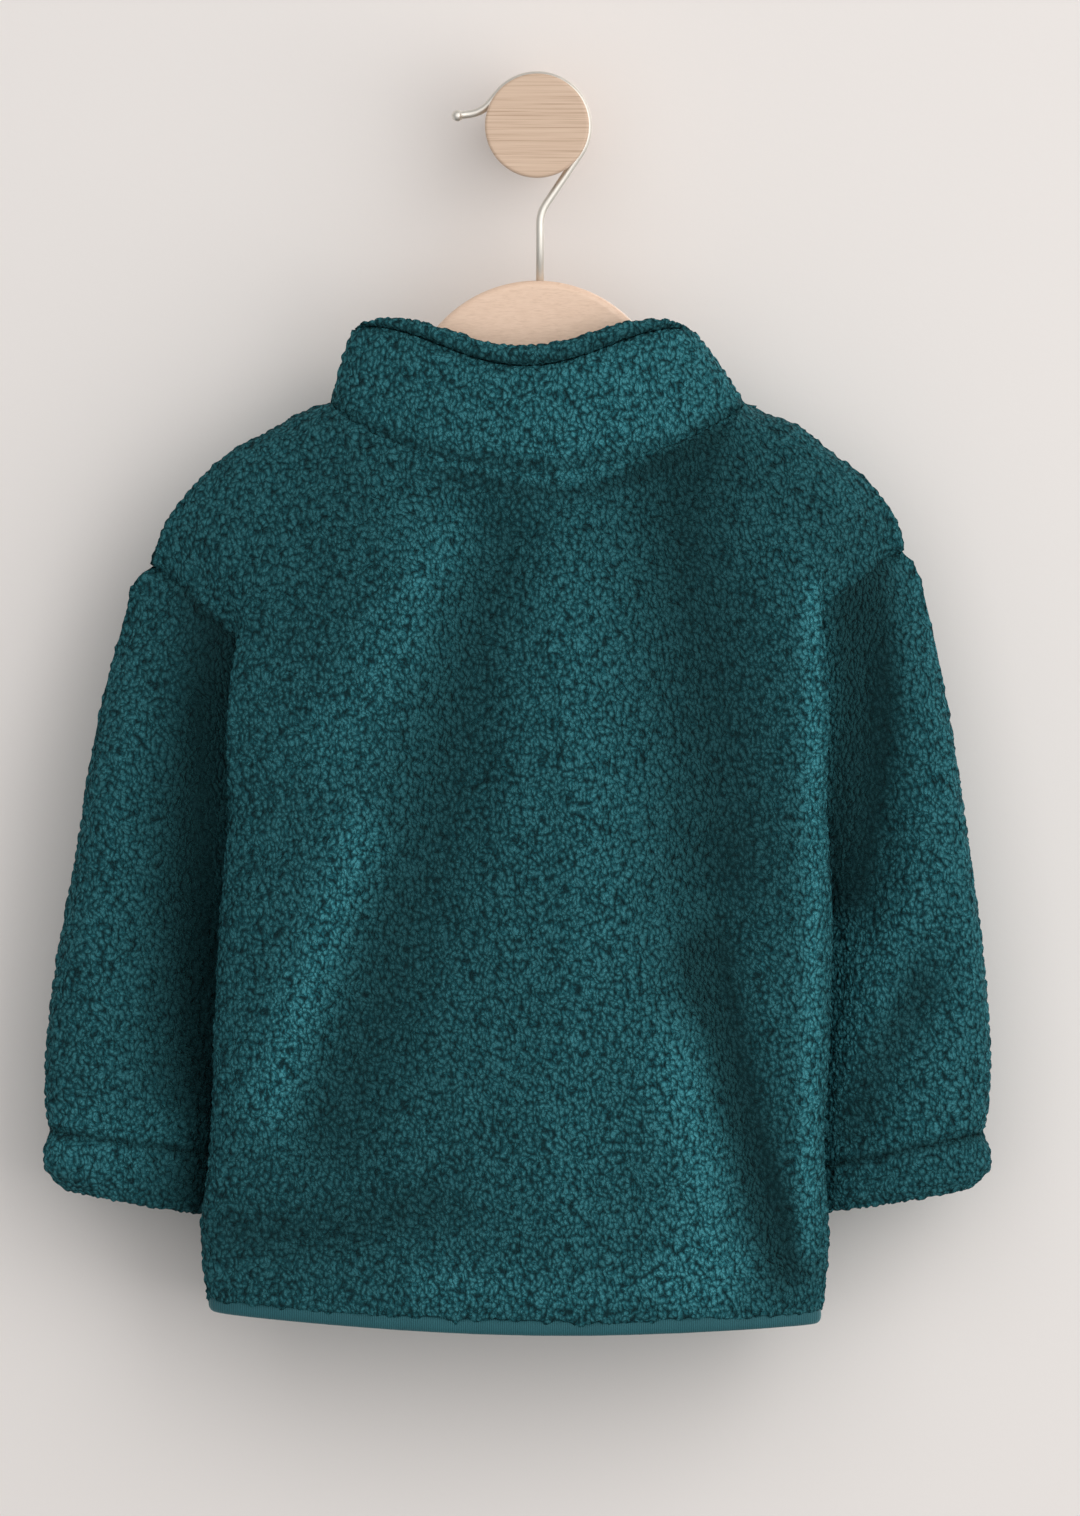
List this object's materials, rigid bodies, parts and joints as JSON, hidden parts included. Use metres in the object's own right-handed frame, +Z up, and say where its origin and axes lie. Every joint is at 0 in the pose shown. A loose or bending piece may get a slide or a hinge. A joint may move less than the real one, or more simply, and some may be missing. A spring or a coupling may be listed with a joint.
{
  "type": "zip-up fleece jacket",
  "caption": "Child's teal pile-fleece jacket with a front zip and stand collar, hung from a wooden hanger and a wall peg with its back to the room.",
  "frame": {"origin": "middle of the wall peg's flat back face, on the wall", "axes": "+Z up, +Y into the wall, +X to the right for somebody who looks at the jacket from the room"},
  "size_m": [0.4185, 0.1089, 0.5557],
  "materials": {
    "pile_fleece": "long pile, matte",
    "stretch_binding": "smooth jersey",
    "zip_tape": "woven, matte",
    "zip_teeth": "moulded, satin",
    "nickelled_metal": "nickel plated, satin",
    "pale_beech": "sanded and clear matte varnish"
  },
  "bodies": {
    "jacket_on_peg": {"back": "pile_fleece", "front_left": "pile_fleece", "front_right": "pile_fleece", "sleeve_left": "pile_fleece", "sleeve_right": "pile_fleece", "cuff_left": "pile_fleece", "cuff_right": "pile_fleece", "collar": "pile_fleece", "collar_lining": "pile_fleece", "hem_binding": "stretch_binding", "zip_tape_left": "zip_tape", "zip_tape_right": "zip_tape", "zip_chain": "zip_teeth", "zip_slider": "nickelled_metal", "hanger": "pale_beech", "hook": "nickelled_metal", "wall_peg": "pale_beech"},
    "pull_tab": {"zip_pull": "nickelled_metal"}
  },
  "joints": [
    {"name": "pull_tab_hinge", "type": "hinge", "parent": "jacket_on_peg", "child": "pull_tab", "pos_m": [-0.00812, -0.02376, -0.13613], "axis": [1, 0, 0], "range_deg": [0, 150]}
  ]
}
